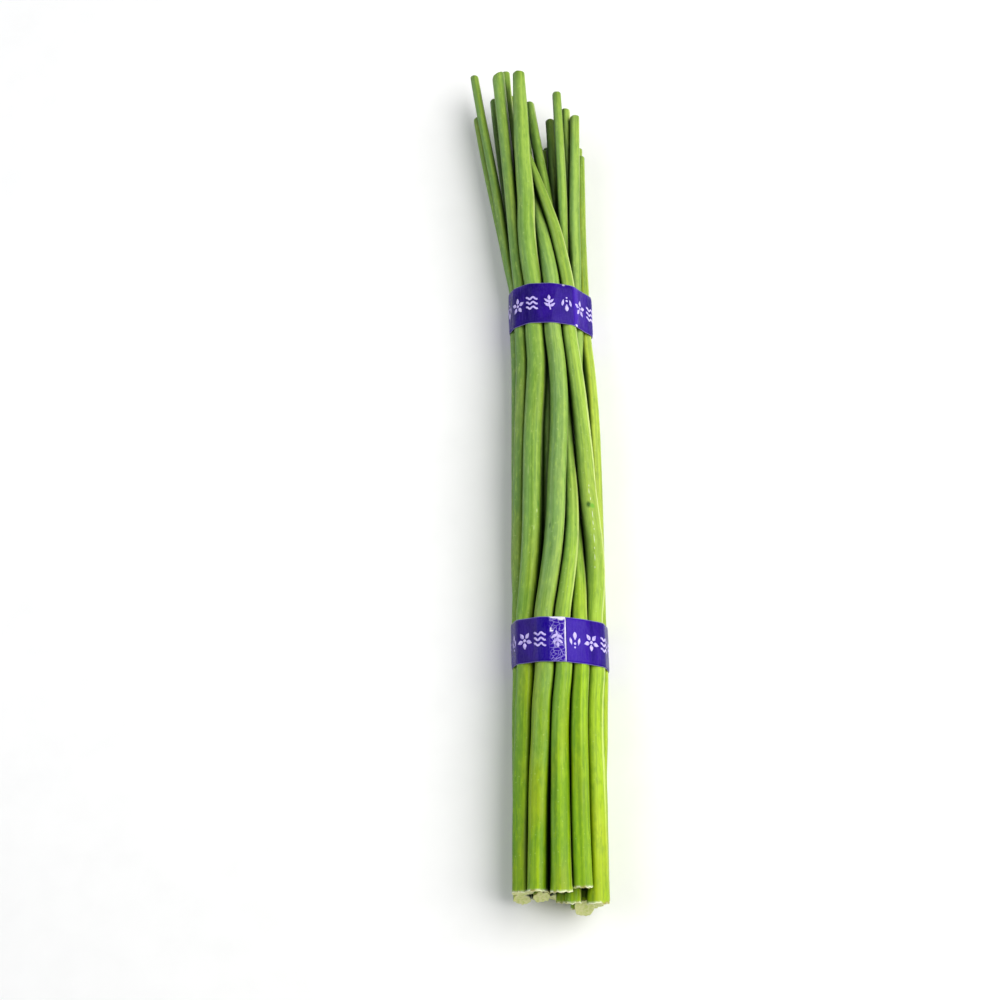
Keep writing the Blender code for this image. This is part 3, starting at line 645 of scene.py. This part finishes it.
def read_wrap(name):
    """A CAD tape's outer outline, sampled finely from its free end round the bunch.

    Returns the distances u, the points (x, y, z) on the tape's middle line and the outward
    directions (x, z).
    """
    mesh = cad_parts[name].data
    middle = np.mean([vertex.co for vertex in mesh.vertices], axis=0)
    outside = set()
    for face in mesh.polygons:
        from_middle = np.array(face.center) - middle
        outward = face.normal.x * from_middle[0] + face.normal.z * from_middle[2]
        if abs(face.normal.y) < 0.5 and outward > 0.0:
            outside.update(face.vertices)
    pairs = {}
    for number in outside:
        x, y, z = mesh.vertices[number].co / MM
        pairs.setdefault((round(x, 2), round(z, 2)), set()).add(round(y, 3))
    loop = np.array([(x, z, np.mean(list(found))) for (x, z), found in pairs.items()])
    from_middle = loop[:, :2] - middle[[0, 2]] / MM
    angles = np.arctan2(from_middle[:, 1], from_middle[:, 0])
    order = np.argsort(angles)
    loop, angles = loop[order], angles[order]
    reach = np.hypot(*from_middle[order].T)
    lengths = np.hypot(*np.diff(np.vstack([loop, loop[:1]])[:, :2], axis=0).T)
    climbs = np.diff(np.append(reach, reach[0])) / lengths
    start = int(np.argmax(climbs))
    loop = np.roll(loop, -start, axis=0)
    closed = np.vstack([loop, loop[:1]])
    reached = np.append(0.0, np.cumsum(np.hypot(*np.diff(closed[:, :2], axis=0).T)))
    girth = reached[-1]
    evenly = np.linspace(FREE_END[-1], girth, int(girth / FILM_SAMPLE), endpoint=False)
    u = np.concatenate([FREE_END[:-1], evenly])
    path = np.stack([np.interp(u, reached, closed[:, column]) for column in (0, 2, 1)], axis=-1)
    from_step = np.minimum(u, girth - u)
    keep = np.clip(from_step / STEP_CLEAR - 0.6, 0.0, 1.0)[:, None]
    for _ in range(SMOOTH_ROUNDS):
        even = 0.25 * np.roll(path, 1, axis=0) + 0.5 * path + 0.25 * np.roll(path, -1, axis=0)
        path += keep * (even - path)
    steps = round(NORMAL_REACH / FILM_SAMPLE)
    ahead = np.roll(path, -steps, axis=0) - np.roll(path, steps, axis=0)
    ahead = ahead[:, [0, 2]] / np.hypot(ahead[:, 0], ahead[:, 2])[:, None]
    outward = np.stack([ahead[:, 1], -ahead[:, 0]], axis=-1)
    return u, girth, path, outward


def film_height(name, u, v, girth):
    """How far the film's creases and waves lift it, in millimetres."""
    height = 0.0
    for crest, length, width, start in FILM_WAVES:
        height += crest * noise.noise(Vector((u / length, v / width, len(name) + start)))
    for u0, v0, u1, v1, crest, width in CREASES[name]:
        start = Vector((u0, v0))
        run = Vector((u1, v1)) - start
        here = Vector(((u - u0 + 0.5 * girth) % girth - 0.5 * girth + u0, v))
        share = min(1.0, max(0.0, (here - start).dot(run) / run.length_squared))
        off = (here - start - run * share).length
        height += crest * math.exp(-((off / width) ** 2))
    edge = TAPE_HALF - abs(v)
    return height * min(1.0, 0.35 + edge / EDGE_CALM) - EDGE_CURL * math.exp(-edge / EDGE_REACH)


def film_place(name, wrap, u, v, lift):
    """The point over (u, v) of a tape, lift millimetres above the film's outer face."""
    known, girth, path, outward = wrap
    u = u % girth
    ring = np.append(known, girth)
    place = [np.interp(u, ring, np.append(path[:, axis], path[0, axis])) for axis in range(3)]
    way = [np.interp(u, ring, np.append(outward[:, axis], outward[0, axis])) for axis in range(2)]
    out = lift + film_height(name, u, v, girth) - FILM_SINK
    return Vector((place[0] + way[0] * out, place[1] + v, place[2] + way[1] * out)) * MM


def grow_line(bm, edges, line):
    """Extrudes these edges, and returns the new ones and the line's vertices on them."""
    grown = bmesh.ops.extrude_edge_only(bm, edges=edges)["geom"]
    edges = [piece for piece in grown if isinstance(piece, bmesh.types.BMEdge)]
    new = {vertex for edge in edges for vertex in edge.verts}
    line = [
        next(edge.other_vert(vertex) for edge in vertex.link_edges if edge.other_vert(vertex) in new)
        for vertex in line
    ]
    return edges, line


def wind_film(name):
    """One tape's film: a loop at one edge, extruded across the outside, back across the inside
    and joined to its start."""
    wrap = read_wrap(name)
    known = wrap[0]
    bm = bmesh.new()
    place = bm.verts.layers.float_vector.new("wrap")
    rows = list(np.linspace(-TAPE_HALF, TAPE_HALF, FILM_ROWS + 1))
    plan = [(v, 0.0) for v in rows] + [(v, -FILM_THICKNESS) for v in reversed(rows)]
    loop = bmesh.ops.create_circle(bm, segments=len(known), radius=1.0)["verts"]
    edges = list({edge for vertex in loop for edge in vertex.link_edges})
    first = edges
    for number, (v, lift) in enumerate(plan):
        if number:
            edges, loop = grow_line(bm, edges, loop)
        for vertex, u in zip(loop, known):
            vertex.co = film_place(name, wrap, u, v, lift)
            vertex[place] = Vector((u, v, 0.0))
    bmesh.ops.bridge_loops(bm, edges=first + edges)
    finish_piece(name + "_film", bm, film_material(name, wrap[1]), "tape", name)
    return wrap


def print_row(name, wrap, material, turned):
    """The printed row of ornaments: flat strokes, thickened and laid on the film."""
    girth = wrap[1]
    bm = bmesh.new()
    count = int(girth / PRINT_PITCH)
    for number in range(count):
        middle = (number + 0.5) * girth / count
        for stroke in ORNAMENTS[number % len(ORNAMENTS)]:
            lay_stroke(bm, stroke, middle, turned)
    grown = bmesh.ops.extrude_face_region(bm, geom=list(bm.faces))["geom"]
    upper = [piece for piece in grown if isinstance(piece, bmesh.types.BMVert)]
    bmesh.ops.translate(bm, vec=(0.0, 0.0, INK_THICKNESS), verts=upper)
    for vertex in bm.verts:
        vertex.co = film_place(name, wrap, vertex.co.x, vertex.co.y, INK_LIFT + vertex.co.z)
    finish_piece(name + "_print", bm, material, "tape")


def lay_stroke(bm, stroke, middle, turned):
    """One flat stroke: a short line across it, extruded along its points."""
    way = -1.0 if turned else 1.0
    points = [Vector((middle - way * u, way * v)) for u, v, _ in stroke]
    lane = [bm.verts.new((0.0, 0.0, 0.0)) for _ in range(STROKE_LANES + 1)]
    edges = [bm.edges.new(pair) for pair in zip(lane, lane[1:])]
    for number, (point, (_, _, half_width)) in enumerate(zip(points, stroke)):
        before, after = points[max(number - 1, 0)], points[min(number + 1, len(points) - 1)]
        ahead = (after - before).normalized()
        side = Vector((-ahead.y, ahead.x)) * half_width
        if number:
            edges, lane = grow_line(bm, edges, lane)
        for share, vertex in zip(np.linspace(-1.0, 1.0, STROKE_LANES + 1), lane):
            spot = point + side * share
            vertex.co = (spot.x, spot.y, 0.0)


def film_material(name, girth):
    """Printed polypropylene film: dyed violet, glossy, and paler where it is cut.

    Pale lines along its creases and wrinkles are painted highlights.
    """
    material, tree, shader = new_material("violet_film_" + name)
    place = add_node(tree, "Attribute", attribute_name="wrap").outputs["Vector"]
    parts = add_node(tree, "SeparateXYZ", {"Vector": place})
    round_bunch = add_node(tree, "MapRange", {
        "Value": parts.outputs["X"], "From Min": 0.0, "From Max": girth, "To Min": 0.0, "To Max": 1.0})
    zone_colour = add_node(tree, "ValToRGB", {"Fac": round_bunch.outputs[0]}, stops=FILM_ZONES[name])
    patches = add_node(tree, "TexNoise", {"Vector": place, "Scale": 0.16, "Detail": 3.0, "Distortion": 0.4})
    faded = add_node(tree, "MapRange", {
        "Value": patches.outputs["Fac"], "From Min": 0.44, "From Max": 0.70, "To Min": 0.0, "To Max": 0.30})
    colour = add_node(tree, "MixRGB", {
        "Fac": faded.outputs[0], "Color1": zone_colour.outputs[0], "Color2": hex_colour("#3f1ea6")})
    creased = add_node(tree, "TexNoise", {
        "Vector": add_node(tree, "Mapping", {
            "Vector": place, "Rotation": (0.0, 0.0, 0.9), "Scale": (1.2, 0.16, 1.0)}).outputs[0],
        "Scale": 1.0, "Detail": 4.0, "Roughness": 0.7})
    # Painted highlights: the film is painted paler along its creases.
    pale = add_node(tree, "MapRange", {
        "Value": creased.outputs["Fac"], "From Min": 0.56, "From Max": 0.72, "To Min": 0.0, "To Max": 0.28})
    colour = add_node(tree, "MixRGB", {
        "Fac": pale.outputs[0], "Color1": colour.outputs[0], "Color2": hex_colour("#4620b4")})
    # Painted highlights: fine sharp wrinkles, close together by the free end where the film was
    # crumpled, painted as pale lines.
    push = add_node(tree, "VectorMath", {
        0: patches.outputs["Color"], 1: (5.0, 5.0, 0.0)}, operation="MULTIPLY")
    bent = add_node(tree, "VectorMath", {0: place, 1: push.outputs[0]}, operation="ADD")
    wrinkles = add_node(tree, "TexVoronoi", {
        "Vector": bent.outputs[0], "Scale": WRINKLE_SCALE}, feature="DISTANCE_TO_EDGE")
    sharp = add_node(tree, "MapRange", {
        "Value": wrinkles.outputs["Distance"], "From Min": 0.01, "From Max": 0.09,
        "To Min": 1.0, "To Max": 0.0})
    crumpled = add_node(tree, "MapRange", {
        "Value": parts.outputs["X"], "From Min": CRUMPLED - 1.0, "From Max": CRUMPLED + 0.5,
        "To Min": 0.60, "To Max": 0.015})
    painted_wrinkle_highlight = add_node(tree, "Math", {0: sharp.outputs[0], 1: crumpled.outputs[0]}, operation="MULTIPLY")
    colour = add_node(tree, "MixRGB", {
        "Fac": painted_wrinkle_highlight.outputs[0], "Color1": colour.outputs[0], "Color2": hex_colour("#b7abec")})
    # The film's own edges are pale, and so is its cut end: a pale line that is partly its cut edge
    # and partly a painted highlight on it.
    across = add_node(tree, "Math", {0: parts.outputs["Y"]}, operation="ABSOLUTE")
    edge = add_node(tree, "MapRange", {
        "Value": across.outputs[0], "From Min": TAPE_HALF - 0.35, "From Max": TAPE_HALF,
        "To Min": 0.0, "To Max": 0.55})
    colour = add_node(tree, "MixRGB", {
        "Fac": edge.outputs[0], "Color1": colour.outputs[0], "Color2": hex_colour("#b9aef0")})
    # Pale spots: painted highlights on the lower tape, pale worn spots on the upper.
    for u, v, half_u, half_v, strength in HIGHLIGHT_AND_WORN_SPOTS[name]:
        spot = blot(tree, place, (u, v, 0.0), (half_u, half_v, 1.0), 0.75, 1.1, strength)
        colour = add_node(tree, "MixRGB", {
            "Fac": spot.outputs[0], "Color1": colour.outputs[0], "Color2": hex_colour("#f1edff")})
    cut_end = add_node(tree, "MapRange", {
        "Value": parts.outputs["X"], "From Min": 0.5, "From Max": 0.8, "To Min": 1.0, "To Max": 0.0})
    colour = add_node(tree, "MixRGB", {
        "Fac": cut_end.outputs[0], "Color1": colour.outputs[0], "Color2": hex_colour("#efeaff")})
    tree.links.new(colour.outputs[0], shader.inputs["Base Color"])
    gloss = add_node(tree, "MapRange", {
        "Value": creased.outputs["Fac"], "From Min": 0.35, "From Max": 0.70, "To Min": 0.18, "To Max": 0.38})
    tree.links.new(gloss.outputs[0], shader.inputs["Roughness"])
    bump = add_node(tree, "Bump", {
        "Height": creased.outputs["Fac"], "Strength": 0.35, "Distance": 0.10 * MM})
    tree.links.new(bump.outputs[0], shader.inputs["Normal"])
    shader.inputs["IOR"].default_value = 1.49
    shader.inputs["Specular IOR Level"].default_value = 0.09
    return material


def ink_material():
    """White-lilac printing ink: thin and matt, a little worn."""
    material, tree, shader = new_material("pale_ink")
    where = add_node(tree, "TexCoord").outputs["Object"]
    worn = add_node(tree, "TexNoise", {"Vector": where, "Scale": 700.0, "Detail": 2.0})
    colour = add_node(tree, "ValToRGB", {"Fac": worn.outputs["Fac"]}, stops=(
        (0.34, "#a898e6"), (0.52, "#cbbdf6")))
    tree.links.new(colour.outputs[0], shader.inputs["Base Color"])
    shader.inputs["Roughness"].default_value = 0.35
    return material


def add_light(name, place, size, power, colour):
    """A square soft light at place, turned to the bunch."""
    lamp = bpy.data.lights.new(name, "AREA")
    lamp.size = size
    lamp.energy = power
    lamp.color = hex_colour(colour)[:3]
    light = bpy.data.objects.new(name, lamp)
    light.location = place
    light.rotation_euler = (LIGHT_AIM - Vector(place)).to_track_quat("-Z", "Y").to_euler()
    bpy.context.scene.collection.objects.link(light)


def set_stage():
    """The plain pale floor, soft studio light and the camera."""
    bm = bmesh.new()
    bmesh.ops.create_grid(bm, x_segments=1, y_segments=1, size=FLOOR_HALF)
    mesh = bpy.data.meshes.new("floor")
    bm.to_mesh(mesh)
    bm.free()
    floor = bpy.data.objects.new("floor", mesh)
    bpy.context.scene.collection.objects.link(floor)
    material, tree, shader = new_material("pale_table")
    where = add_node(tree, "TexCoord").outputs["Object"]
    speckle = add_node(tree, "TexNoise", {"Vector": where, "Scale": 60.0, "Detail": 3.0})
    colour = add_node(tree, "ValToRGB", {"Fac": speckle.outputs["Fac"]}, stops=(
        (0.3, "#f7f7f6"), (0.7, "#fafaf9")))
    tree.links.new(colour.outputs[0], shader.inputs["Base Color"])
    shader.inputs["Roughness"].default_value = 0.7
    mesh.materials.append(material)

    world = bpy.data.worlds.new("soft_room")
    world.use_nodes = True
    sky = world.node_tree.nodes["Background"]
    sky.inputs["Color"].default_value = hex_colour("#f8faff")
    sky.inputs["Strength"].default_value = 0.22
    bpy.context.scene.world = world
    bpy.context.scene.view_settings.view_transform = "Standard"
    for light in LIGHTS:
        add_light(*light)

    camera_data = bpy.data.cameras.new("camera")
    camera_data.lens = CAMERA_LENS
    camera = bpy.data.objects.new("camera", camera_data)
    camera.location = CAMERA_PLACE
    camera.rotation_euler = [math.radians(turn) for turn in CAMERA_TURN]
    bpy.context.scene.collection.objects.link(camera)
    bpy.context.scene.camera = camera


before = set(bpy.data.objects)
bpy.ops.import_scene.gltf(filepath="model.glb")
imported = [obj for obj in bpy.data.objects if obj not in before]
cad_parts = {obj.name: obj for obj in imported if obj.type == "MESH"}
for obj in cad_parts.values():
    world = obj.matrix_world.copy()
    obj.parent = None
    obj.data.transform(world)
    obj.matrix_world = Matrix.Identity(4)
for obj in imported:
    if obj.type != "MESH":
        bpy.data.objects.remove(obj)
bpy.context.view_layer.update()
set_stage()
stems = {scape: read_scape(scape) for scape in LOOKS}
for scape, look in LOOKS.items():
    grow_scape(scape, look)
ink = ink_material()
for tape, turned in (("lower_tape", True), ("upper_tape", False)):
    print_row(tape, wind_film(tape), ink, turned)
